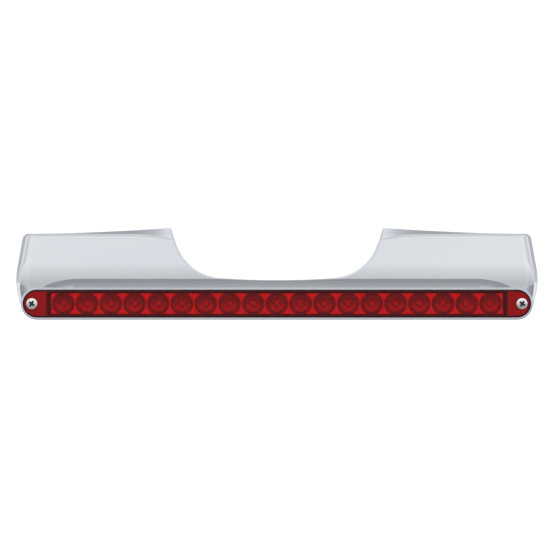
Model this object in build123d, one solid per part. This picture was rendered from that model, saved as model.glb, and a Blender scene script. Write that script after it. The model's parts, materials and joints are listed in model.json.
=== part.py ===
"""Third brake light: a 17 inch LED lamp set in a chromed die-cast housing with two wings and a U-shaped notch.

Millimetres, +Z up. The lamp faces -Y and the vehicle is at +Y. The origin is the centre of the two mounting holes,
on the rear face of the mounting bracket. The object is symmetric about X = 0.
"""

import os
from math import asin, atan, cos, radians, sin, tan

from build123d import *

# ---- Lamp: overall sizes ----
LAMP_LENGTH = 431.8  # 17 in
LAMP_HEIGHT = 23.5
LAMP_SCREW_INSET = 7.95  # lamp end to screw axis
OVERALL_DEPTH = 50.0  # lens face to mounting face

# ---- Lens ----
LENS_THICKNESS = 2.4
LENS_WALL = 1.2
LENS_SKIRT = 13.4  # front face to the skirt's rear edge
LENS_EDGE_RADIUS = 0.6
SCREW_SEAT_DEPTH = 1.0

# ---- Reflector ----
CUP_COUNT = 19
CUP_PITCH = 20.2
CUP_RADIUS = 9.85
CUP_FLOOR_RADIUS = 3.5
TRAY_HEIGHT = 17.2
TRAY_DEPTH = 8.6
TRAY_SKIN = 1.1
TRAY_GAP = 1.0  # lens to reflector

# ---- Circuit board and what is on it ----
BOARD_THICKNESS = 1.6
BOARD_HEIGHT = 18.4
LED_SIDE = 7.6
LED_BODY = 1.9
LED_DOME_RADIUS = 2.5
LED_DOME_HEIGHT = 2.3
LED_PIN_RADIUS = 0.3
LED_PIN_SPACING = 5.08
LED_PIN_LENGTH = 3.0
RESISTOR_COUNT = 7
RESISTOR_SIZE = (6.3, 0.8, 3.2)
DIODE_SIZE = (4.4, 1.9, 2.7)
TERMINAL_PITCH = 4.0
TERMINAL_RADIUS = 0.9

# ---- Lamp base, seal and gasket ----
SEAL_THICKNESS = 0.6
BASE_DEPTH = 5.0
BASE_FLOOR = 2.0
PAD_LENGTH = 19.8  # lamp end to the end pad's inner face
TUBE_RADIUS = 4.3  # lens pillar round each lamp screw
GASKET_THICKNESS = 1.5
GASKET_WIDTH = 3.4
GASKET_MARGIN = 0.3  # inside the lamp's outline
FIT_GAP = 0.2  # all round, between moulded pieces that nest
POCKET_GAP = 0.2  # all round, between lamp and housing pocket

# ---- Housing ----
WALL = 2.8
RIM_WIDTH = 1.85
RIM_SETBACK = 2.5  # lens face to the rim's front
RIM_RADIUS = 0.9
BODY_SETBACK = 5.2  # lens face to the front of the body beside the rim
REAR_STANDOFF = 4.0  # housing's rear edge to the mounting face
BODY_OVERHANG = 8.4  # beyond the lamp's end, at its widest
BODY_TOP_OVERHANG = 7.3  # the same at the top
BODY_END_RADIUS = 87.0  # of the bulging end, seen from the front, from the brow down
BODY_INSET = 1.2  # rim outline to body outline, along the bottom
BROW_HEIGHT = 27.0  # lamp centre to the corner between front and sloping face
BROW_RADIUS = 30.0
FACE_LEAN = 40.0  # degrees from vertical
ROOF_HEIGHT = 60.8  # at the outer ends, along the rear edge
ROOF_RISE = 4.9  # extra height of the rear edge at the notch
ROOF_FALL = 0.8  # front edge below the rear edge at the outer ends
ROOF_DROOP = 4.2  # extra fall of the front edge at the notch
ROOF_RADIUS = 6.0
END_RADIUS = 13.0
NOTCH_FLOOR = 19.8  # lamp centre to the notch's lowest point
NOTCH_HALF_FLAT = 49.5
NOTCH_BOW = 2.0  # rise of the floor from its middle to the ends of the flat
NOTCH_RADIUS = 45.0
NOTCH_SIDE_ANGLE = 70.0  # degrees from horizontal
NOTCH_EDGE_RADIUS = 1.4
COVE_HEIGHT = 21.8  # lamp centre to the cove's upper edge
COVE_STEP = 0.2  # at its upper edge
COVE_DEPTH = 1.3
COVE_END_LENGTH = 43.9  # lamp end to where its upper edge starts to bend down
COVE_END_RADIUS = 76.0
COVE_FADE = 1.7  # degrees by which the cove runs out towards its ends
POCKET_FLOOR = 2.7
RIB_THICKNESS = 2.0
RIB_DEPTH = 8.0
RIB_SETBACK = 1.5  # from the housing's rear edge
RIB_PLACES = (128.0, 172.0)

# ---- Fasteners ----
LAMP_SCREW_RADIUS = 2.4
LAMP_SCREW_LENGTH = 28.0
LAMP_SCREW_HEAD_RADIUS = 4.7
LAMP_SCREW_HEAD_HEIGHT = 2.7
LAMP_SCREW_PITCH = 1.06
LAMP_SCREW_TURN = 35.0  # degrees, where the cross recess came to rest
THREAD_GAP = 0.05  # radial, between a thread's crest and its hole
SCREW_CLEARANCE = 0.3  # radial, through a lens, base or bracket
LAMP_BOSS_RADIUS = 5.0
LAMP_BOSS_LENGTH = 9.5
BOARD_SCREW_RADIUS = 1.1
BOARD_SCREW_LENGTH = 6.0
BOARD_SCREW_HEAD_RADIUS = 2.0
BOARD_SCREW_HEAD_HEIGHT = 1.5
BOARD_SCREW_GAPS = (2, 7)  # which gap between cups, counted out from the middle
BOARD_POST_RADIUS = 2.8

# ---- Mounting bracket ----
BRACKET_SHEET = 2.5
BRACKET_WIDTH = 19.0
BRACKET_OFFSET = 7.5  # centre plate behind the ears
BRACKET_HALF_PLATE = 46.0
BRACKET_HALF_LENGTH = 82.0
BRACKET_BEND_RADIUS = 2.0
MOUNT_HOLE_SPACING = 70.0
MOUNT_HOLE_RADIUS = 3.3  # clearance for M6
LEAD_HOLE_RADIUS = 6.5
BRACKET_SCREW_PLACES = (60.0, 74.0)
BRACKET_SCREW_RADIUS = 2.5
BRACKET_SCREW_PITCH = 0.8
BRACKET_SCREW_LENGTH = 14.0
BRACKET_SCREW_HEAD_FLATS = 8.0
BRACKET_SCREW_HEAD_HEIGHT = 3.4
BRACKET_BOSS_RADIUS = 5.0
WASHER_RADIUS = 4.4
WASHER_THICKNESS = 1.1
WASHER_GAP = 0.9

# ---- Grommets ----
LAMP_GROMMET_NECK = 4.0
LAMP_GROMMET_FLANGE = 5.6
LAMP_GROMMET_LIP = 1.1
LEAD_COUNT = 3
LEAD_RADIUS = 0.9
LEAD_SPACING = 2.5
GROMMET_NECK = 7.4
GROMMET_BORE = 6.2
GROMMET_FLANGE = 8.6
GROMMET_LIP = 1.2

# ---- Places worked out from the sizes above ----
Y_LENS = -OVERALL_DEPTH
Y_RIM = Y_LENS + RIM_SETBACK
Y_BODY = Y_LENS + BODY_SETBACK
Y_LENS_INNER = Y_LENS + LENS_THICKNESS
Y_TRAY = Y_LENS_INNER + TRAY_GAP
Y_BOARD = Y_TRAY + TRAY_DEPTH
Y_BOARD_BACK = Y_BOARD + BOARD_THICKNESS
Y_SEAL = Y_LENS + LENS_SKIRT
Y_BASE = Y_SEAL + SEAL_THICKNESS
Y_BASE_BACK = Y_BASE + BASE_DEPTH
Y_BASE_FLOOR = Y_BASE_BACK - BASE_FLOOR
Y_POCKET = Y_BASE_BACK + GASKET_THICKNESS
Y_POCKET_BACK = Y_POCKET + POCKET_FLOOR
Y_REAR = -REAR_STANDOFF
Y_EAR_BACK = -BRACKET_OFFSET
Y_EAR = Y_EAR_BACK - BRACKET_SHEET
Y_SCREW_SEAT = Y_LENS + SCREW_SEAT_DEPTH

LAMP_RADIUS = LAMP_HEIGHT / 2
LAMP_SCREW_SPACING = LAMP_LENGTH - 2 * LAMP_SCREW_INSET
SCREW_X = LAMP_SCREW_SPACING / 2
BODY_HALF_WIDTH = LAMP_LENGTH / 2 + BODY_OVERHANG
BODY_TOP_HALF_WIDTH = LAMP_LENGTH / 2 + BODY_TOP_OVERHANG
COVE_HALF_LENGTH = LAMP_LENGTH / 2 - COVE_END_LENGTH
END_CENTRE = LAMP_LENGTH / 2 - LAMP_RADIUS
RIM_OUTER_RADIUS = LAMP_RADIUS + POCKET_GAP + RIM_WIDTH
BODY_LOW_RADIUS = RIM_OUTER_RADIUS - BODY_INSET
TRAY_LENGTH = CUP_COUNT * CUP_PITCH
PAD_X = LAMP_LENGTH / 2 - PAD_LENGTH
LENS_INNER_RADIUS = LAMP_RADIUS - LENS_WALL
BASE_INNER_RADIUS = LENS_INNER_RADIUS - FIT_GAP
CUP_PLACES = [(i - (CUP_COUNT - 1) / 2) * CUP_PITCH for i in range(CUP_COUNT)]
BOARD_SCREW_PLACES = [
    side * (gap + 0.5) * CUP_PITCH for side in (-1, 1) for gap in BOARD_SCREW_GAPS
]
HIGH = ROOF_HEIGHT + 60.0  # above everything
FAR_BACK = 25.0  # behind everything


def front_plane(y):
    """A sketch plane at depth y, with its x along +X and its y along +Z. It faces -Y."""
    return Plane(origin=(0, y, 0), x_dir=(1, 0, 0), z_dir=(0, -1, 0))


def prism(sketch, y_front, y_back):
    """A front-view sketch made solid between two depths."""
    return extrude(front_plane(y_back) * sketch, amount=y_back - y_front)


def disc(radius, x, z, y_front, y_back):
    """A round bar along Y."""
    return prism(Pos(x, z) * Circle(radius), y_front, y_back)


def stadium(radius):
    """A front-view stadium about the lamp's centre. Its ends are concentric with the lamp's."""
    return SlotOverall(2 * (END_CENTRE + radius), 2 * radius)


def box(x_low, x_high, y_low, y_high, z_low, z_high):
    """A box between corners."""
    return Pos((x_low + x_high) / 2, (y_low + y_high) / 2, (z_low + z_high) / 2) * Box(
        x_high - x_low, y_high - y_low, z_high - z_low
    )


# ---- Housing ----


def notch_sketch():
    """The U-shaped notch: a slightly bowed floor, a round corner each side, and straight flaring sides."""
    bow_radius = (NOTCH_HALF_FLAT**2 + NOTCH_BOW**2) / (2 * NOTCH_BOW)
    start = radians(NOTCH_SIDE_ANGLE)
    bow_slope = NOTCH_HALF_FLAT / bow_radius
    corner = (NOTCH_HALF_FLAT, NOTCH_FLOOR + NOTCH_BOW)
    centre = (corner[0] - NOTCH_RADIUS * sin(bow_slope), corner[1] + NOTCH_RADIUS * cos(bow_slope))
    side = (centre[0] + NOTCH_RADIUS * sin(start), centre[1] - NOTCH_RADIUS * cos(start))
    middle = (bow_slope + start) / 2
    via = (centre[0] + NOTCH_RADIUS * sin(middle), centre[1] - NOTCH_RADIUS * cos(middle))
    top = (side[0] + (HIGH - side[1]) / tan(start), HIGH)
    floor = ThreePointArc((-corner[0], corner[1]), (0, NOTCH_FLOOR), corner)
    right = ThreePointArc(corner, via, side)
    right_side = Line(side, top)
    lid = Line(top, (-top[0], HIGH))
    left_side = Line((-top[0], HIGH), (-side[0], side[1]))
    left = ThreePointArc((-side[0], side[1]), (-via[0], via[1]), (-corner[0], corner[1]))
    return make_face(Curve() + [floor, right, right_side, lid, left_side, left])


def body_outline():
    """The body's front view without its notch. It is open-topped, because the roof is cut afterwards."""
    low = BODY_LOW_RADIUS
    waist = (BODY_HALF_WIDTH, BROW_HEIGHT)
    lean = (BODY_HALF_WIDTH - BODY_TOP_HALF_WIDTH) / (ROOF_HEIGHT - BROW_HEIGHT)
    top = (BODY_HALF_WIDTH - lean * (HIGH - BROW_HEIGHT), HIGH)
    start = atan(lean)
    centre = (waist[0] - BODY_END_RADIUS * cos(start), waist[1] - BODY_END_RADIUS * sin(start))
    stop = asin((-low - centre[1]) / BODY_END_RADIUS)
    via, foot = [
        (centre[0] + BODY_END_RADIUS * cos(angle), centre[1] + BODY_END_RADIUS * sin(angle))
        for angle in ((start + stop) / 2, stop)
    ]
    half = Curve() + [
        Line((0, -low), foot),
        ThreePointArc(foot, via, waist),
        Line(waist, top),
        Line(top, (0, HIGH)),
        Line((0, HIGH), (0, -low)),
    ]
    right = make_face(half)
    right = fillet(right.vertices().sort_by_distance((*foot, 0))[0], low)
    return right + mirror(right, about=Plane.YZ)


def body_profile():
    """The body's side view, in Y and Z: flat front, round brow and sloping face, on past the rear edge."""
    low = -BODY_LOW_RADIUS
    reach = (HIGH - BROW_HEIGHT) * tan(radians(FACE_LEAN))
    brow = (Y_BODY, BROW_HEIGHT)
    corners = [(Y_BODY, low), (FAR_BACK + reach, low), (FAR_BACK + reach, HIGH), (Y_BODY + reach, HIGH), brow]
    sketch = make_face(Polyline(*corners, close=True))
    brow_corner = sketch.vertices().sort_by_distance((brow[0], brow[1], 0))[0]
    return fillet(brow_corner, BROW_RADIUS)


def face_y(z):
    """Depth of the sloping face at height z."""
    return Y_BODY + (z - BROW_HEIGHT) * tan(radians(FACE_LEAN))


def roof_section(x, drop):
    """What is cut away above the roof, at one place along X. Its lower edge is the roof line there."""
    inward = (BODY_HALF_WIDTH - x) / (BODY_HALF_WIDTH - NOTCH_HALF_FLAT - NOTCH_RADIUS)
    share = max(0.0, min(1.0, inward))
    rear = ROOF_HEIGHT + ROOF_RISE * share**2 - drop
    front = ROOF_HEIGHT - ROOF_FALL - ROOF_DROOP * share**8 - drop
    slope = (rear - front) / (Y_REAR - face_y(front))
    y_front, y_back = face_y(front) - 20, FAR_BACK + 10
    corners = [
        (y_front, rear + slope * (y_front - Y_REAR)),
        (y_back, rear + slope * (y_back - Y_REAR)),
        (y_back, HIGH + 10),
        (y_front, HIGH + 10),
    ]
    plane = Plane(origin=(x, 0, 0), x_dir=(0, 1, 0), z_dir=(1, 0, 0))
    return plane * make_face(Polyline(*corners, close=True))


def roof_cutter(drop):
    """Everything above the roof, which rises to the rear and towards the notch."""
    low, high, stations = NOTCH_HALF_FLAT + NOTCH_RADIUS * 0.6, BODY_HALF_WIDTH + 10, 9
    places = [low + (high - low) * i / (stations - 1) for i in range(stations)]
    right = loft([roof_section(x, drop) for x in places])
    return right + mirror(right, about=Plane.YZ)


def body(inset):
    """The plain body, without its notch, drawn in by inset on every side but the rear."""
    outline, profile = body_outline(), body_profile()
    if inset:
        outline, profile = offset(outline, -inset), offset(profile, -inset)
    across = extrude(Plane.YZ * profile, amount=BODY_HALF_WIDTH + 20, both=True)
    through = prism(outline, Y_BODY - 20, FAR_BACK)
    return (across & through) - roof_cutter(inset)


def rounded(plain, end_radius, roof_radius):
    """The body with its end edges and its roof edges rounded over."""
    ends, roofs = [], []
    for edge in plain.edges():
        middle, run = edge.center(), edge.tangent_at(0.5)
        at_end = abs(middle.X) > END_CENTRE + 5
        if at_end and abs(run.Y) < 0.9 and middle.Y < Y_REAR and 0 < middle.Z < ROOF_HEIGHT:
            ends.append(edge)
        if abs(run.X) > 0.9 and ROOF_HEIGHT - 12 < middle.Z < ROOF_HEIGHT + ROOF_RISE and middle.Y < Y_REAR:
            roofs.append(edge)
        if at_end and abs(run.Y) > 0.9 and middle.Z > BROW_HEIGHT + 10:
            roofs.append(edge)
    solid = fillet(ends, end_radius)
    near = [edge.center() for edge in roofs]
    again = [min(solid.edges(), key=lambda e: (e.center() - place).length) for place in near]
    return fillet(again, roof_radius)


def cove_cutter():
    """The shallow cove along the top of the bezel. Its upper edge bends down to the bezel at both ends."""
    top, reach = COVE_END_RADIUS, 14.0
    y_deep = Y_BODY + COVE_DEPTH
    face_height = COVE_HEIGHT - RIM_OUTER_RADIUS
    start, stop = (Y_BODY + COVE_STEP, top), (y_deep, top - face_height)
    outline = Curve() + [
        Line((Y_BODY - 2, top), start),
        TangentArc([stop, start], tangent=(0, 1)),
        Line(stop, (y_deep, top - reach)),
        Line((y_deep, top - reach), (Y_BODY - 2, top - reach)),
        Line((Y_BODY - 2, top - reach), (Y_BODY - 2, top)),
    ]
    side = Plane(
        origin=(COVE_HALF_LENGTH, 0, COVE_HEIGHT - COVE_END_RADIUS), x_dir=(0, 1, 0), z_dir=(1, 0, 0)
    )
    section = side * make_face(outline)
    straight = extrude(section, amount=-COVE_HALF_LENGTH)
    fade = radians(COVE_FADE)
    pivot = (COVE_HALF_LENGTH, Y_BODY, COVE_HEIGHT - COVE_END_RADIUS)
    bend = revolve(section, Axis(pivot, (sin(fade), cos(fade), 0)), 34)
    right = straight + bend
    return right + mirror(right, about=Plane.YZ)


def notch_edges(solid):
    """The front and top edges left by cutting the notch."""
    found = []
    for edge in solid.edges():
        middle, run = edge.center(), edge.tangent_at(0.5)
        along_floor = abs(run.Y) > 0.99
        near = abs(middle.X) < NOTCH_HALF_FLAT + NOTCH_RADIUS + 10 and middle.Z > NOTCH_FLOOR - 1
        if near and not along_floor and middle.Y < FAR_BACK - 5:
            found.append(edge)
    return found


def shell():
    """The hollow body: outer form less inner form, open at the back."""
    through = (Y_BODY - 20, FAR_BACK)
    outer = rounded(body(0), END_RADIUS, ROOF_RADIUS) - prism(notch_sketch(), *through)
    outer = fillet(notch_edges(outer), NOTCH_EDGE_RADIUS) - cove_cutter()
    inner = rounded(body(WALL), END_RADIUS - WALL, ROOF_RADIUS - WALL)
    inner -= prism(offset(notch_sketch(), WALL), *through)
    behind = box(-BODY_HALF_WIDTH - 5, BODY_HALF_WIDTH + 5, Y_REAR, FAR_BACK + 5, -30, HIGH)
    return outer - inner - behind


def ribs():
    """Upright stiffening ribs behind both wings."""
    low, high = 0.0, ROOF_HEIGHT + ROOF_RISE
    corners = [(Y_BODY + 1, low), (Y_BODY + 1, BROW_HEIGHT), (face_y(high) + 1, high)]
    corners += [(face_y(high) + 1 + RIB_DEPTH, high), (Y_BODY + 1 + RIB_DEPTH, low)]
    plate = make_face(Polyline(*corners, close=True))
    placed = [
        Pos(side * place - RIB_THICKNESS / 2, 0, 0) * extrude(Plane.YZ * plate, amount=RIB_THICKNESS)
        for side in (-1, 1)
        for place in RIB_PLACES
    ]
    skin = body(WALL / 2) & box(-BODY_HALF_WIDTH, BODY_HALF_WIDTH, Y_BODY, Y_REAR - RIB_SETBACK, -20, HIGH)
    return [rib & skin for rib in placed]


def housing():
    """The die-cast housing: hollow body, lamp pocket with its bezel, ribs and tapped bosses."""
    rim = prism(stadium(RIM_OUTER_RADIUS), Y_RIM, Y_POCKET_BACK)
    rim = fillet(rim.edges().filter_by_position(Axis.Y, Y_RIM - 0.1, Y_RIM + 0.1), RIM_RADIUS)
    solid = shell() + ribs() + rim
    bosses = [
        disc(LAMP_BOSS_RADIUS, side * SCREW_X, 0, Y_POCKET, Y_POCKET + LAMP_BOSS_LENGTH)
        for side in (-1, 1)
    ]
    bosses += [
        disc(BRACKET_BOSS_RADIUS, side * place, 0, Y_POCKET_BACK - 1, Y_EAR)
        for side in (-1, 1)
        for place in BRACKET_SCREW_PLACES
    ]
    solid += bosses
    cuts = [prism(stadium(LAMP_RADIUS + POCKET_GAP), Y_RIM - 5, Y_POCKET)]
    cuts += [disc(GROMMET_NECK, 0, 0, Y_POCKET - 1, Y_POCKET_BACK + 1)]
    cuts += [
        disc(LAMP_SCREW_RADIUS + THREAD_GAP, side * SCREW_X, 0, Y_POCKET - 1, Y_POCKET + LAMP_BOSS_LENGTH + 1)
        for side in (-1, 1)
    ]
    cuts += [
        disc(BRACKET_SCREW_RADIUS + THREAD_GAP, side * place, 0, Y_EAR - BRACKET_SCREW_LENGTH, Y_EAR + 1)
        for side in (-1, 1)
        for place in BRACKET_SCREW_PLACES
    ]
    return solid - cuts


# ---- Lens and seal ----


def lens():
    """The red lens: front window, skirt, and a pillar round each lamp screw seated below its face."""
    outer = prism(stadium(LAMP_RADIUS), Y_LENS, Y_SEAL)
    outer = fillet(outer.edges().filter_by_position(Axis.Y, Y_LENS - 0.1, Y_LENS + 0.1), LENS_EDGE_RADIUS)
    solid = outer - prism(stadium(LENS_INNER_RADIUS), Y_LENS_INNER, Y_SEAL + 1)
    for side in (-1, 1):
        x = side * SCREW_X
        solid += disc(TUBE_RADIUS, x, 0, Y_LENS_INNER - 0.5, Y_SEAL)
        solid -= disc(LAMP_SCREW_RADIUS + SCREW_CLEARANCE, x, 0, Y_LENS - 1, Y_SEAL + 1)
        solid -= disc(LAMP_SCREW_HEAD_RADIUS + 0.5, x, 0, Y_LENS - 1, Y_SCREW_SEAT)
    return solid


def lens_seal():
    """The flat rubber seal between the lens skirt and the lamp base."""
    ring = stadium(LAMP_RADIUS - 0.2) - stadium(LENS_INNER_RADIUS)
    return prism(ring, Y_SEAL, Y_BASE)


# ---- Lamp base ----


def base():
    """The lamp base: a shallow tray with end pads up to the lens and posts for the circuit board."""
    solid = prism(stadium(LAMP_RADIUS), Y_BASE, Y_BASE_BACK)
    solid -= prism(Rectangle(2 * PAD_X, 2 * BASE_INNER_RADIUS - 2), Y_BASE - 1, Y_BASE_FLOOR)
    pads = prism(stadium(BASE_INNER_RADIUS), Y_LENS_INNER + FIT_GAP, Y_BASE + 1)
    solid += pads - box(-PAD_X, PAD_X, Y_LENS, Y_BASE + 2, -20, 20)
    posts = [disc(BOARD_POST_RADIUS, x, 0, Y_BOARD_BACK, Y_BASE_FLOOR + 0.5) for x in BOARD_SCREW_PLACES]
    solid += posts
    cuts = [
        disc(BOARD_SCREW_RADIUS + THREAD_GAP, x, 0, Y_BOARD_BACK - 1, Y_BASE_FLOOR + 1)
        for x in BOARD_SCREW_PLACES
    ]
    for side in (-1, 1):
        x = side * SCREW_X
        cuts += [disc(TUBE_RADIUS + FIT_GAP, x, 0, Y_LENS, Y_SEAL + 0.3)]
        cuts += [disc(LAMP_SCREW_RADIUS + SCREW_CLEARANCE, x, 0, Y_SEAL, Y_BASE_BACK + 1)]
    cuts += [disc(LAMP_GROMMET_NECK, 0, 0, Y_BASE, Y_BASE_BACK + 1)]
    return solid - cuts


def flanged_ring(neck, flange, lip, y_front, y_back, bore):
    """A grommet: a neck filling a wall between two depths, and a flange on each side of the wall."""
    solid = disc(neck, 0, 0, y_front, y_back)
    solid += [disc(flange, 0, 0, y_front - lip, y_front), disc(flange, 0, 0, y_back, y_back + lip)]
    ends = solid.edges().filter_by(GeomType.CIRCLE).filter_by(lambda e: abs(e.radius - flange) < 0.01)
    outside = [e for e in ends if e.center().Y < y_front - lip / 2 or e.center().Y > y_back + lip / 2]
    solid = fillet(outside, lip / 2)
    if bore:
        solid -= disc(bore, 0, 0, y_front - 10, y_back + 10)
    return solid


def lamp_grommet():
    """The rubber grommet in the lamp base, with one hole for each lead."""
    solid = flanged_ring(LAMP_GROMMET_NECK, LAMP_GROMMET_FLANGE, LAMP_GROMMET_LIP, Y_BASE_FLOOR, Y_BASE_BACK, 0)
    places = [(i - (LEAD_COUNT - 1) / 2) * LEAD_SPACING for i in range(LEAD_COUNT)]
    return solid - [disc(LEAD_RADIUS, x, 0, Y_BASE, Y_POCKET) for x in places]


def housing_grommet():
    """The open rubber grommet in the housing's lead hole."""
    return flanged_ring(GROMMET_NECK, GROMMET_FLANGE, GROMMET_LIP, Y_POCKET, Y_POCKET_BACK, GROMMET_BORE)


def gasket():
    """The foam frame squeezed between the lamp base and the pocket floor."""
    outer = LAMP_RADIUS - GASKET_MARGIN
    solid = prism(stadium(outer), Y_BASE_BACK, Y_POCKET)
    window = SlotOverall(2 * PAD_X, 2 * (outer - GASKET_WIDTH))
    cuts = [prism(window, Y_BASE_BACK - 1, Y_POCKET + 1)]
    cuts += [disc(GROMMET_FLANGE + 0.4, 0, 0, Y_BASE_BACK - 1, Y_POCKET + 1)]
    cuts += [
        disc(LAMP_SCREW_RADIUS + 2 * SCREW_CLEARANCE, side * SCREW_X, 0, Y_BASE_BACK - 1, Y_POCKET + 1)
        for side in (-1, 1)
    ]
    return solid - cuts


# ---- Reflector ----


def cup_form(skin):
    """One bowl, grown by skin. It opens at the front and ends in a short neck behind."""
    floor = Y_BOARD - LED_BODY - FIT_GAP - TRAY_SKIN
    depth = floor - Y_TRAY
    mouth, foot = CUP_RADIUS + skin, CUP_FLOOR_RADIUS + skin
    middle = (foot + 0.66 * (mouth - foot), Y_TRAY + depth * 0.55)
    back = Y_BOARD - LED_BODY - FIT_GAP
    outline = Curve() + [
        Line((0, Y_TRAY), (mouth, Y_TRAY)),
        ThreePointArc((mouth, Y_TRAY), middle, (foot, floor)),
        Line((foot, floor), (foot, back)),
        Line((foot, back), (0, back)),
        Line((0, back), (0, Y_TRAY)),
    ]
    return revolve(Plane.XY * make_face(outline), Axis.Y)


def reflector():
    """The metallised reflector strip: a thin tray with one bowl for each LED."""
    half, height = TRAY_LENGTH / 2, TRAY_HEIGHT / 2
    block = box(-half, half, Y_TRAY, Y_BOARD, -height, height)
    hollow = box(
        -half + TRAY_SKIN, half - TRAY_SKIN, Y_TRAY + TRAY_SKIN, Y_BOARD + 1, -height + TRAY_SKIN, height - TRAY_SKIN
    )
    tray = block - hollow
    grown, bowl = cup_form(TRAY_SKIN), cup_form(0)
    tray += [block & Pos(x, 0, 0) * grown for x in CUP_PLACES]
    tray -= [Pos(x, 0, 0) * bowl for x in CUP_PLACES]
    return tray


# ---- Circuit board ----


def pin_places(x):
    """The four pins of the LED at x."""
    half = LED_PIN_SPACING / 2
    return [(x + a, b) for a in (-half, half) for b in (-half, half)]


def terminal_places():
    """Where the leads are soldered, below the middle LED."""
    return [((i - (LEAD_COUNT - 1) / 2) * TERMINAL_PITCH, -BOARD_HEIGHT / 2 + 2.0) for i in range(LEAD_COUNT)]


def board():
    """The circuit board, drilled for pins, terminals and screws."""
    half = PAD_X - 3 * FIT_GAP
    solid = box(-half, half, Y_BOARD, Y_BOARD_BACK, -BOARD_HEIGHT / 2, BOARD_HEIGHT / 2)
    ends = (Y_BOARD - 1, Y_BOARD_BACK + 1)
    holes = [disc(LED_PIN_RADIUS + 0.1, *place, *ends) for x in CUP_PLACES for place in pin_places(x)]
    holes += [disc(TERMINAL_RADIUS, *place, *ends) for place in terminal_places()]
    holes += [disc(BOARD_SCREW_RADIUS + 0.2, x, 0, *ends) for x in BOARD_SCREW_PLACES]
    return solid - holes


def led(x):
    """One four-pin LED: square body, clear dome and pins through the board."""
    y_top = Y_BOARD - LED_BODY
    solid = box(x - LED_SIDE / 2, x + LED_SIDE / 2, y_top, Y_BOARD, -LED_SIDE / 2, LED_SIDE / 2)
    solid = fillet(solid.edges().filter_by(Axis.Y), 0.8)
    straight = LED_DOME_HEIGHT - LED_DOME_RADIUS * 0.6
    dome = disc(LED_DOME_RADIUS, x, 0, y_top - LED_DOME_HEIGHT, y_top)
    top = dome.edges().filter_by_position(Axis.Y, y_top - LED_DOME_HEIGHT - 0.1, y_top - LED_DOME_HEIGHT + 0.1)
    solid += fillet(top, LED_DOME_HEIGHT - straight)
    ends = (Y_BOARD - 0.5, Y_BOARD + LED_PIN_LENGTH)
    return solid + [disc(LED_PIN_RADIUS, *place, *ends) for place in pin_places(x)]


def resistors():
    """Surface resistors on the back of the board, between the LEDs."""
    length, thick, width = RESISTOR_SIZE
    taken = [round(x, 1) for x in BOARD_SCREW_PLACES]
    gaps = [(x + CUP_PITCH / 2) for x in CUP_PLACES[:-1] if round(x + CUP_PITCH / 2, 1) not in taken]
    chosen = [gaps[i * (len(gaps) - 1) // (RESISTOR_COUNT - 1)] for i in range(RESISTOR_COUNT)]
    chips = [
        box(x - length / 2, x + length / 2, Y_BOARD_BACK, Y_BOARD_BACK + thick, -width / 2, width / 2)
        for x in chosen
    ]
    return Compound(children=[fillet(chip.edges().filter_by(Axis.Z), 0.15) for chip in chips])


def diode():
    """The polarity-protection diode on the back of the board."""
    length, thick, width = DIODE_SIZE
    z = BOARD_HEIGHT / 2 - width
    y_back = Y_BOARD_BACK + thick
    solid = box(-length / 2, length / 2, Y_BOARD_BACK, y_back, z - width / 2, z + width / 2)
    solid = chamfer(solid.edges().filter_by_position(Axis.Y, y_back - 0.1, y_back + 0.1), 0.3)
    tabs = [
        box(
            side * length / 2 - 0.5, side * length / 2 + 0.5, Y_BOARD_BACK, Y_BOARD_BACK + 0.5, z - 0.7, z + 0.7
        )
        for side in (-1, 1)
    ]
    return solid + tabs


def terminals():
    """Solder terminals for the leads."""
    pins = []
    for place in terminal_places():
        pin = disc(TERMINAL_RADIUS - 0.1, *place, Y_BOARD, Y_BOARD_BACK + 1.6)
        collar = disc(TERMINAL_RADIUS + 0.5, *place, Y_BOARD_BACK, Y_BOARD_BACK + 0.4)
        pins.append(pin + collar)
    return Compound(children=pins)


# ---- Fasteners ----


def threaded_bar(radius, pitch, start, stop):
    """A screw shaft along +Y from the origin with thread grooves between two distances."""
    depth = 0.5 * pitch
    points = [(0, 0), (radius, 0), (radius, start)]
    count = int((stop - start - pitch) / pitch)
    for i in range(count):
        y = start + i * pitch
        points += [(radius, y + 0.15 * pitch), (radius - depth, y + 0.5 * pitch), (radius, y + 0.85 * pitch)]
    points += [(radius, stop - depth), (radius - depth, stop), (0, stop)]
    return revolve(Plane.XY * make_face(Polyline(*points, close=True)), Axis.Y)


def cross_recess(radius, depth):
    """The cross-shaped driver recess, opening towards -Y at the origin."""
    wing = 0.2 * radius
    arms = [Box(1.15 * radius, 2 * depth, 2 * wing), Box(2 * wing, 2 * depth, 1.15 * radius)]
    cone = Rot(90, 0, 0) * Cone(0.18 * radius, 0.42 * radius, 2 * depth)
    return arms[0] + arms[1] + cone


def pan_screw(radius, pitch, length, head_radius, head_height, thread_start):
    """A cross-recess pan-head screw along +Y. Its head stands in front of the origin."""
    crown = head_height * 0.45
    outline = Curve() + [
        Line((0, 0), (head_radius, 0)),
        Line((head_radius, 0), (head_radius * 0.985, -head_height + crown)),
        ThreePointArc(
            (head_radius * 0.985, -head_height + crown),
            (head_radius * 0.62, -head_height + 0.3 * crown),
            (0, -head_height),
        ),
        Line((0, -head_height), (0, 0)),
    ]
    head = revolve(Plane.XY * make_face(outline), Axis.Y)
    solid = head + threaded_bar(radius, pitch, thread_start, length)
    recess = Pos(0, -head_height, 0) * cross_recess(head_radius, head_height * 0.62)
    return solid - Rot(0, LAMP_SCREW_TURN, 0) * recess


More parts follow.
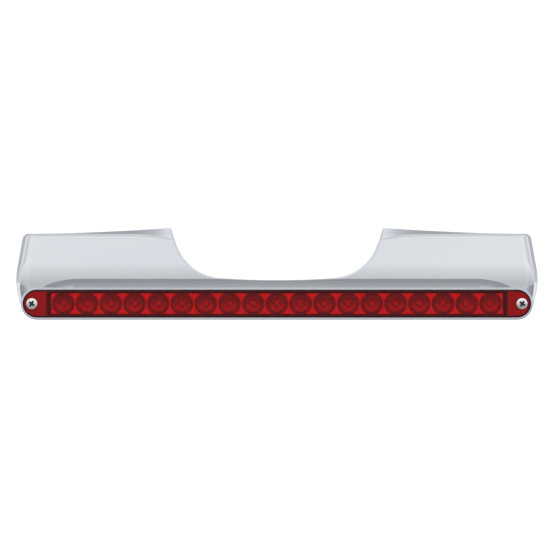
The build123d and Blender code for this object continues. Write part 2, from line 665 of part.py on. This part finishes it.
def lamp_screws():
    """The two screws that hold the lamp in the housing."""
    grip = Y_POCKET - Y_SCREW_SEAT
    screw = pan_screw(
        LAMP_SCREW_RADIUS,
        LAMP_SCREW_PITCH,
        LAMP_SCREW_LENGTH,
        LAMP_SCREW_HEAD_RADIUS,
        LAMP_SCREW_HEAD_HEIGHT,
        grip - 4,
    )
    return Compound(children=[Pos(side * SCREW_X, Y_SCREW_SEAT, 0) * screw for side in (-1, 1)])


def board_screws():
    """The small screws that hold the circuit board on its posts."""
    length = min(BOARD_SCREW_LENGTH, Y_BASE_FLOOR + 0.8 - Y_BOARD)
    screw = pan_screw(
        BOARD_SCREW_RADIUS, 0.6, length, BOARD_SCREW_HEAD_RADIUS, BOARD_SCREW_HEAD_HEIGHT, BOARD_THICKNESS
    )
    return Compound(children=[Pos(x, Y_BOARD, 0) * screw for x in BOARD_SCREW_PLACES])


def bracket_screws():
    """The hexagon-head screws that hold the bracket on the housing."""
    seat = Y_EAR_BACK + WASHER_THICKNESS
    shaft = threaded_bar(BRACKET_SCREW_RADIUS, BRACKET_SCREW_PITCH, 3.0, BRACKET_SCREW_LENGTH)
    shaft = Rot(180, 0, 0) * shaft
    hexagon = RegularPolygon(BRACKET_SCREW_HEAD_FLATS / 2, 6, major_radius=False)
    head = prism(hexagon, 0, BRACKET_SCREW_HEAD_HEIGHT)
    crown = Rot(-90, 0, 0) * Cone(BRACKET_SCREW_HEAD_FLATS * 0.72, BRACKET_SCREW_HEAD_FLATS * 0.42, 4.5)
    head &= Pos(0, 2.25 + BRACKET_SCREW_HEAD_HEIGHT - 4.5 + 0.4, 0) * crown
    screw = head + shaft
    return Compound(
        children=[Pos(side * place, seat, 0) * screw for side in (-1, 1) for place in BRACKET_SCREW_PLACES]
    )


def bracket_washers():
    """Split lock washers under the bracket screws."""
    ring = disc(WASHER_RADIUS, 0, 0, 0, WASHER_THICKNESS) - disc(BRACKET_SCREW_RADIUS + 0.15, 0, 0, -1, 5)
    ring -= Rot(0, 30, 0) * box(-WASHER_GAP / 2, WASHER_GAP / 2, -1, 5, 0, WASHER_RADIUS + 1)
    return Compound(
        children=[Pos(side * place, Y_EAR_BACK, 0) * ring for side in (-1, 1) for place in BRACKET_SCREW_PLACES]
    )


# ---- Bracket ----


def bracket():
    """The steel mounting bracket: a centre plate on the vehicle and an ear stepped forward at each end."""
    half, reach, sheet = BRACKET_HALF_PLATE, BRACKET_HALF_LENGTH, BRACKET_SHEET
    step = BRACKET_OFFSET * 0.8
    back = [(0, 0), (half, 0), (half + step, -BRACKET_OFFSET), (reach, -BRACKET_OFFSET)]
    shift = sheet * tan(atan(BRACKET_OFFSET / step) / 2)  # keeps the sheet's thickness through its bends
    front = [
        (reach, -BRACKET_OFFSET - sheet),
        (half + step - shift, -BRACKET_OFFSET - sheet),
        (half - shift, -sheet),
        (0, -sheet),
    ]
    section = make_face(Polyline(*(back + front), close=True))
    for tight, wide in ((front[2], back[1]), (back[2], front[1])):
        for corner, radius in ((tight, BRACKET_BEND_RADIUS), (wide, BRACKET_BEND_RADIUS + sheet)):
            section = fillet(section.vertices().sort_by_distance((*corner, 0))[0], radius)
    section += mirror(section, about=Plane.YZ)
    solid = extrude(Plane.XY * section, amount=BRACKET_WIDTH / 2, both=True)
    ends = solid.edges().filter_by(Axis.Y).filter_by(lambda e: abs(e.center().X) > reach - 0.1)
    solid = fillet(ends, 4.0)
    cuts = [disc(MOUNT_HOLE_RADIUS, side * MOUNT_HOLE_SPACING / 2, 0, -sheet - 1, 1) for side in (-1, 1)]
    cuts += [disc(LEAD_HOLE_RADIUS, 0, 0, -sheet - 1, 1)]
    cuts += [
        disc(BRACKET_SCREW_RADIUS + SCREW_CLEARANCE, side * place, 0, Y_EAR - 1, Y_EAR_BACK + 1)
        for side in (-1, 1)
        for place in BRACKET_SCREW_PLACES
    ]
    return solid - cuts


# ---- The whole light ----


def pieces():
    """Every node of the light, by name."""
    named = {
        "housing": housing(),
        "housing_grommet": housing_grommet(),
        "lamp_lens": lens(),
        "lens_seal": lens_seal(),
        "lamp_base": base(),
        "lamp_grommet": lamp_grommet(),
        "lamp_gasket": gasket(),
        "reflector": reflector(),
        "circuit_board": board(),
        "resistors": resistors(),
        "diode": diode(),
        "wire_terminals": terminals(),
        "board_screws": board_screws(),
        "lamp_screws": lamp_screws(),
        "mounting_bracket": bracket(),
        "bracket_screws": bracket_screws(),
        "bracket_washers": bracket_washers(),
    }
    for number, x in enumerate(CUP_PLACES, 1):
        named[f"led_{number:02d}"] = led(x)
    return named


os.makedirs("parts", exist_ok=True)
for name, shape in pieces().items():
    export_step(shape, f"parts/{name}.step")
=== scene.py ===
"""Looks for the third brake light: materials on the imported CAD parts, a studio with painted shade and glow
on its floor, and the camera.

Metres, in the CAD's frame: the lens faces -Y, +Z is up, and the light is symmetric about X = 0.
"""

import json
import math

import bpy
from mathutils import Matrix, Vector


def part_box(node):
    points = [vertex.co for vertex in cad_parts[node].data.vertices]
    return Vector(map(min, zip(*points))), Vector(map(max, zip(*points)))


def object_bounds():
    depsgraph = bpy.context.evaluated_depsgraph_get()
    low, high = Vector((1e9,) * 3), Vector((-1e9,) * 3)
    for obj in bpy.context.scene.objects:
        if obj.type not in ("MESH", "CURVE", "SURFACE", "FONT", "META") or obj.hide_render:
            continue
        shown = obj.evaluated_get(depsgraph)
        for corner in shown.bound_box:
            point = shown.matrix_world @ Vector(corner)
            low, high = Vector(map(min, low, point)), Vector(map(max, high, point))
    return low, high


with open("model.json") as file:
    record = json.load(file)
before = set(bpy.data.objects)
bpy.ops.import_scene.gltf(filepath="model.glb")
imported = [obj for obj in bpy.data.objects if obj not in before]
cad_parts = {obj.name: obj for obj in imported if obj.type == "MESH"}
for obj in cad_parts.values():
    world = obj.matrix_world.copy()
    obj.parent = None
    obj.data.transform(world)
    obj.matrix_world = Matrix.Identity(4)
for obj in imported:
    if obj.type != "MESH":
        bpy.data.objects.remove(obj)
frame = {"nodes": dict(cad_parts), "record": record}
cad_low, cad_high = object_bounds()
nodes = frame["nodes"]

CAMERA_DISTANCE = 1.3  # from the lens face
CAMERA_X = 0.0005
CAMERA_HEIGHT = 0.0222
VIEW_WIDTH = 0.4709  # what the picture spans at the lens face
SENSOR = 36.0  # mm
CLIP_START, CLIP_END = 0.05, 100.0
FLOOR_DROP = 0.30  # floor below the light
FLOOR_REACH = 30.0  # to each side

# Depths and distances over which a piece's colour changes: painted shade down in the reflector's cups and in
# the lamp screws' cross recesses, and the LEDs' lead frame
CUP_SHADE_START, CUP_SHADE_END = 0.0002, 0.0022  # painted shade in the cups, behind the reflector's front
LEAD_FRAME_CORE, LEAD_FRAME_EDGE = 0.0009, 0.0022  # from the middle of the cross's arms
RECESS_SHADE_START, RECESS_SHADE_END = 0.0004, 0.0010  # painted shade in the cross recess, behind the front of a lamp screw's head
RECESS_SHARE = 0.7  # of the head's radius, that the cross recess stays within

# ---- Materials ----


class Maker:
    """A procedural material under construction."""

    def __init__(self, name, **sockets):
        self.material = bpy.data.materials.new(name)
        self.material.use_nodes = True
        self.tree = self.material.node_tree
        self.tree.nodes.clear()
        self.out = self.tree.nodes.new("ShaderNodeOutputMaterial")
        self.shader = self.tree.nodes.new("ShaderNodeBsdfPrincipled")
        self.tree.links.new(self.shader.outputs[0], self.out.inputs["Surface"])
        for key, value in sockets.items():
            socket = self.shader.inputs[key.replace("_", " ")]
            socket.default_value = (*value, 1.0) if isinstance(value, tuple) else value
        self.place = self.tree.nodes.new("ShaderNodeTexCoord").outputs["Object"]

    def node(self, kind, **inputs):
        """A node with its inputs set from values or linked from other nodes' outputs."""
        made = self.tree.nodes.new(kind)
        for key, value in inputs.items():
            socket = made.inputs[key.replace("_", " ")]
            if isinstance(value, bpy.types.NodeSocket):
                self.tree.links.new(value, socket)
            else:
                socket.default_value = value
        return made

    def noise(self, scale, detail=3.0, stretch=(1, 1, 1)):
        """Noise of that many features a metre, stretched along an axis where asked."""
        mapping = self.node("ShaderNodeMapping", Vector=self.place, Scale=stretch)
        made = self.node("ShaderNodeTexNoise", Vector=mapping.outputs[0], Scale=scale, Detail=detail)
        return made.outputs["Fac"]

    def ramp(self, factor, stops):
        """A colour ramp through (position, colour) stops."""
        made = self.node("ShaderNodeValToRGB", Fac=factor)
        elements = made.color_ramp.elements
        while len(elements) < len(stops):
            elements.new(0.5)
        for element, (position, colour) in zip(elements, stops):
            element.position = position
            element.color = (*colour, 1.0)
        return made.outputs["Color"]

    def math(self, operation, *values):
        """One step of arithmetic on numbers or other nodes' outputs."""
        made = self.tree.nodes.new("ShaderNodeMath")
        made.operation = operation
        for socket, value in zip(made.inputs, values):
            if isinstance(value, bpy.types.NodeSocket):
                self.tree.links.new(value, socket)
            else:
                socket.default_value = value
        return made.outputs[0]

    def between(self, value, low, high):
        """How far a value has come from low to high, from 0 to 1."""
        return self.node("ShaderNodeMapRange", Value=value, From_Min=low, From_Max=high).outputs["Result"]

    def axes(self):
        """The X, Y and Z of the place on the piece."""
        return self.node("ShaderNodeSeparateXYZ", Vector=self.place).outputs

    def paint(self, factor, stops, socket="Base Color"):
        """A colour ramp on one of the shader's colours."""
        self.tree.links.new(self.ramp(factor, stops), self.shader.inputs[socket])

    def spread(self, factor, low, high):
        """A number that runs from low to high with the factor."""
        return self.node("ShaderNodeMapRange", Value=factor, To_Min=low, To_Max=high).outputs["Result"]

    def colour(self, factor, low, high):
        """Base colour that wanders between two close colours."""
        self.paint(factor, [(0.3, low), (0.7, high)])

    def roughness(self, factor, low, high):
        """Roughness that wanders between two values."""
        self.tree.links.new(self.spread(factor, low, high), self.shader.inputs["Roughness"])

    def bump(self, factor, depth, strength=1.0):
        """Surface relief of that depth in metres."""
        made = self.node("ShaderNodeBump", Height=factor, Distance=depth, Strength=strength)
        self.tree.links.new(made.outputs[0], self.shader.inputs["Normal"])


def chrome():
    """Chrome plate over a polished casting: near mirror, with a trace of haze and ripple."""
    make = Maker("chrome_plate", Metallic=1.0, Specular_Tint=(0.55, 0.56, 0.58))
    make.colour(make.noise(9, 4), (0.60, 0.625, 0.66), (0.63, 0.65, 0.68))
    make.roughness(make.noise(60, 5), 0.045, 0.085)
    make.bump(make.noise(22, 1), 0.00006, 0.25)
    return make.material


def lens_red():
    """Clear red acrylic with a polished face."""
    make = Maker("red_lens", Transmission_Weight=1.0, IOR=1.42, Specular_Tint=(1.0, 0.45, 0.50))
    make.colour(make.noise(30, 2), (0.86, 0.010, 0.016), (0.88, 0.013, 0.020))
    make.roughness(make.noise(150, 3), 0.015, 0.03)
    return make.material


def rubber():
    """Black moulded rubber."""
    make = Maker("black_rubber", Specular_IOR_Level=0.35)
    make.colour(make.noise(300, 4), (0.012, 0.012, 0.013), (0.025, 0.025, 0.026))
    make.roughness(make.noise(500, 3), 0.55, 0.75)
    make.bump(make.noise(2500, 3), 0.00004, 0.6)
    return make.material


def foam():
    """Closed-cell foam with fine pores."""
    make = Maker("black_foam", Roughness=0.95, Specular_IOR_Level=0.2)
    cells = make.node("ShaderNodeTexVoronoi", Vector=make.place, Scale=1800.0).outputs["Distance"]
    make.colour(cells, (0.012, 0.012, 0.014), (0.04, 0.04, 0.044))
    make.bump(cells, 0.0002, 0.8)
    return make.material


def grey_plastic():
    """Lightly textured grey moulding."""
    make = Maker("grey_plastic", Specular_IOR_Level=0.45)
    make.colour(make.noise(80, 4), (0.70, 0.69, 0.68), (0.76, 0.75, 0.74))
    make.roughness(make.noise(400, 3), 0.42, 0.58)
    make.bump(make.noise(3000, 2), 0.00003, 0.5)
    return make.material


def reflector_metal():
    """Vacuum-metallised plastic, with painted shade darkening it down in the cups."""
    make = Maker("reflector_metal", Metallic=1.0)
    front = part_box("reflector")[0].y
    # painted shade: the base colour darkens with depth down into the cups, with a little random tone on top
    depth = make.between(make.axes()["Y"], front + CUP_SHADE_START, front + CUP_SHADE_END)
    shade = make.math("MULTIPLY_ADD", make.noise(40, 3), 0.12, depth)
    make.paint(shade, [(0.0, (0.95, 0.95, 0.96)), (1.0, (0.42, 0.42, 0.43))])
    make.roughness(make.noise(200, 4), 0.16, 0.24)
    make.bump(make.noise(300, 2), 0.00002, 0.4)
    return make.material


def board_mask():
    """Green solder mask over glass-fibre board, with the weave just showing."""
    make = Maker("board_green", Specular_IOR_Level=0.5, Coat_Weight=0.3, Coat_Roughness=0.2)
    weave = make.node("ShaderNodeTexBrick", Vector=make.place, Scale=900.0).outputs["Fac"]
    make.colour(make.noise(120, 4), (0.012, 0.10, 0.035), (0.018, 0.14, 0.05))
    make.roughness(make.noise(300, 3), 0.35, 0.5)
    make.bump(weave, 0.00002, 0.4)
    return make.material


def component_black():
    """Black moulded electronic parts."""
    make = Maker("component_black", Specular_IOR_Level=0.4)
    make.colour(make.noise(800, 3), (0.015, 0.015, 0.016), (0.03, 0.03, 0.032))
    make.roughness(make.noise(1200, 2), 0.4, 0.6)
    return make.material


def tinned():
    """Solder-tinned metal."""
    make = Maker("tinned_brass", Metallic=1.0)
    make.colour(make.noise(900, 3), (0.62, 0.61, 0.58), (0.72, 0.71, 0.68))
    make.roughness(make.noise(1500, 3), 0.25, 0.45)
    make.bump(make.noise(2000, 2), 0.00005, 0.5)
    return make.material


def led_body():
    """Clear four-pin LED with the bright cross of its lead frame showing through."""
    make = Maker("led_clear", Specular_IOR_Level=0.6, Coat_Weight=0.5, Coat_Roughness=0.05)
    place = make.axes()
    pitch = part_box("led_02")[0].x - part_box("led_01")[0].x
    across = make.math("PINGPONG", place["X"], pitch / 2)
    up = make.math("ABSOLUTE", place["Z"])
    arms = make.math("ABSOLUTE", make.math("SUBTRACT", across, up))
    lead, resin = (0.98, 0.95, 0.92), (0.50, 0.44, 0.42)
    make.paint(make.between(arms, LEAD_FRAME_CORE, LEAD_FRAME_EDGE), [(0.0, lead), (1.0, resin)])
    make.roughness(make.noise(800, 2), 0.12, 0.25)
    return make.material


def zinc():
    """Bright zinc-plated steel with a faint spangle."""
    make = Maker("zinc_steel", Metallic=1.0)
    make.colour(make.noise(260, 5), (0.54, 0.55, 0.57), (0.66, 0.67, 0.69))
    make.roughness(make.noise(340, 5), 0.24, 0.40)
    make.bump(make.noise(1500, 3, (0.2, 1, 1)), 0.00003, 0.4)
    return make.material


def stainless():
    """Bright stainless steel screws, with painted shade dark down in the cross recess of each lamp screw's
    head.
    """
    make = Maker("stainless_steel", Metallic=1.0)
    low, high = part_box("lamp_screws")
    head_radius = (high.z - low.z) / 2
    place = make.axes()
    aside = make.math("SUBTRACT", make.math("ABSOLUTE", place["X"]), high.x - head_radius)
    squares = [make.math("POWER", distance, 2.0) for distance in (aside, place["Z"])]
    out = make.math("SQRT", make.math("ADD", *squares))
    # painted shade: the cross recess of each lamp screw's head turns near black with depth
    inside = make.math("LESS_THAN", out, RECESS_SHARE * head_radius)
    depth = make.between(place["Y"], low.y + RECESS_SHADE_START, low.y + RECESS_SHADE_END)
    make.paint(make.math("MULTIPLY", inside, depth), [(0.0, (0.86, 0.84, 0.82)), (1.0, (0.05, 0.045, 0.045))])
    make.roughness(make.noise(900, 4), 0.24, 0.36)
    return make.material


FINISHES = {
    "chrome_plate": chrome,
    "red_lens": lens_red,
    "black_rubber": rubber,
    "black_foam": foam,
    "grey_plastic": grey_plastic,
    "reflector_metal": reflector_metal,
    "board_green": board_mask,
    "component_black": component_black,
    "tinned_brass": tinned,
    "led_clear": led_body,
    "zinc_steel": zinc,
    "stainless_steel": stainless,
}


def dress_nodes():
    """Every CAD node takes the material of its slot in the record."""
    materials = {slot: build() for slot, build in FINISHES.items()}
    for part in frame["record"]["subparts"]:
        node = nodes[part["node"]]
        node.data.materials.clear()
        node.data.materials.append(materials[part["material_slot"]])


# ---- Studio ----

# Brightness of the studio round the light, by angle in degrees: 0 is the horizon behind the camera, 90 is
# straight up and 180 is the backdrop. Below the horizon it is the same as above.
SKY = [
    (0, 0.74), (10, 0.78), (24, 0.87), (35, 0.93), (47, 0.99), (61, 1.06), (73, 1.12), (86, 1.13), (98, 0.90),
    (108, 0.87), (116, 1.34), (122, 1.20), (131, 0.91), (146, 0.83), (163, 0.86), (171, 1.06),
]
# How that changes to the left and right, by the sine of the angle aside.
SIDES = [(0.0, 1.0), (0.16, 1.04), (0.45, 1.10), (0.75, 1.02), (1.0, 0.96)]
FLOOR_NEAR, FLOOR_FAR = -7.0, 0.6  # the floor's painted shade and glow run between these depths
# Painted shade on the floor: pale far in front, darkest just before the brake light, white behind it
FLOOR_PAINTED_SHADE = [
    (0.0, (0.80, 0.80, 0.81)), (0.60, (0.52, 0.53, 0.54)), (0.86, (0.36, 0.37, 0.39)),
    (0.93, (0.34, 0.35, 0.37)), (0.97, (0.93, 0.93, 0.93)),
]
# Painted glow: the floor behind the brake light glows white though it is no lamp
FLOOR_GLOW = [(0.93, (0.02, 0.02, 0.02)), (0.97, (0.40, 0.40, 0.40))]


def floor():
    """A floor with painted shade and glow: grey in front of the brake light, darkest just before it, and
    running to a painted white glow behind it.
    """
    mesh = bpy.data.meshes.new("floor")
    low = cad_low.z - FLOOR_DROP
    corners = [(x * FLOOR_REACH, y * FLOOR_REACH, low) for x, y in ((-1, -1), (1, -1), (1, 1), (-1, 1))]
    mesh.from_pydata(corners, [], [(0, 1, 2, 3)])
    made = bpy.data.objects.new("floor", mesh)
    bpy.context.scene.collection.objects.link(made)
    make = Maker("floor_paper", Roughness=0.9, Specular_IOR_Level=0.1, Emission_Strength=1.0)
    # painted shade and glow, by depth along the floor
    along = make.between(make.axes()["Y"], FLOOR_NEAR, FLOOR_FAR)
    make.paint(along, FLOOR_PAINTED_SHADE)
    make.paint(along, FLOOR_GLOW, "Emission Color")
    mesh.materials.append(make.material)


def studio_light():
    """Soft light from all round, with an overhead bank whose edges show in the chrome."""
    world = bpy.data.worlds.new("studio")
    bpy.context.scene.world = world
    world.use_nodes = True
    tree = world.node_tree
    tree.nodes.clear()

    def node(kind, *inputs, **settings):
        made = tree.nodes.new(kind)
        for key, value in settings.items():
            setattr(made, key, value)
        for socket, value in zip(made.inputs, inputs):
            if isinstance(value, bpy.types.NodeSocket):
                tree.links.new(value, socket)
            elif value is not None:
                socket.default_value = value
        return made

    split = node("ShaderNodeSeparateXYZ", tree.nodes.new("ShaderNodeTexCoord").outputs["Generated"])
    forward = node("ShaderNodeMath", split.outputs["Y"], -1.0, operation="MULTIPLY").outputs[0]
    height = node("ShaderNodeMath", split.outputs["Z"], operation="ABSOLUTE").outputs[0]
    turn = node("ShaderNodeMath", height, forward, operation="ARCTAN2").outputs[0]
    share = node("ShaderNodeMath", turn, math.pi, operation="DIVIDE").outputs[0]
    aside = node("ShaderNodeMath", split.outputs["X"], operation="ABSOLUTE").outputs[0]

    def ramp(factor, stops, tint=(1.0, 1.0, 1.0)):
        made = node("ShaderNodeValToRGB", factor)
        while len(made.color_ramp.elements) < len(stops):
            made.color_ramp.elements.new(0.5)
        for element, (position, level) in zip(made.color_ramp.elements, stops):
            element.position = position
            element.color = (*(level * part for part in tint), 1.0)
        return made.outputs["Color"]

    sky = ramp(share, [(angle / 180, level) for angle, level in SKY], (0.985, 0.995, 1.0))
    light = node("ShaderNodeBackground", sky, ramp(aside, SIDES))
    node("ShaderNodeOutputWorld", light.outputs[0])


def camera():
    """The camera, level and square to the lens."""
    data = bpy.data.cameras.new("camera")
    made = bpy.data.objects.new("camera", data)
    bpy.context.scene.collection.objects.link(made)
    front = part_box("lamp_lens")[0].y
    made.location = (CAMERA_X, front - CAMERA_DISTANCE, CAMERA_HEIGHT)
    made.rotation_euler = (math.radians(90), 0, 0)
    data.sensor_width = SENSOR
    data.lens = SENSOR * CAMERA_DISTANCE / VIEW_WIDTH
    data.clip_start, data.clip_end = CLIP_START, CLIP_END
    bpy.context.scene.camera = made


dress_nodes()
floor()
studio_light()
camera()
bpy.context.scene.view_settings.view_transform = "Standard"
bpy.context.view_layer.update()
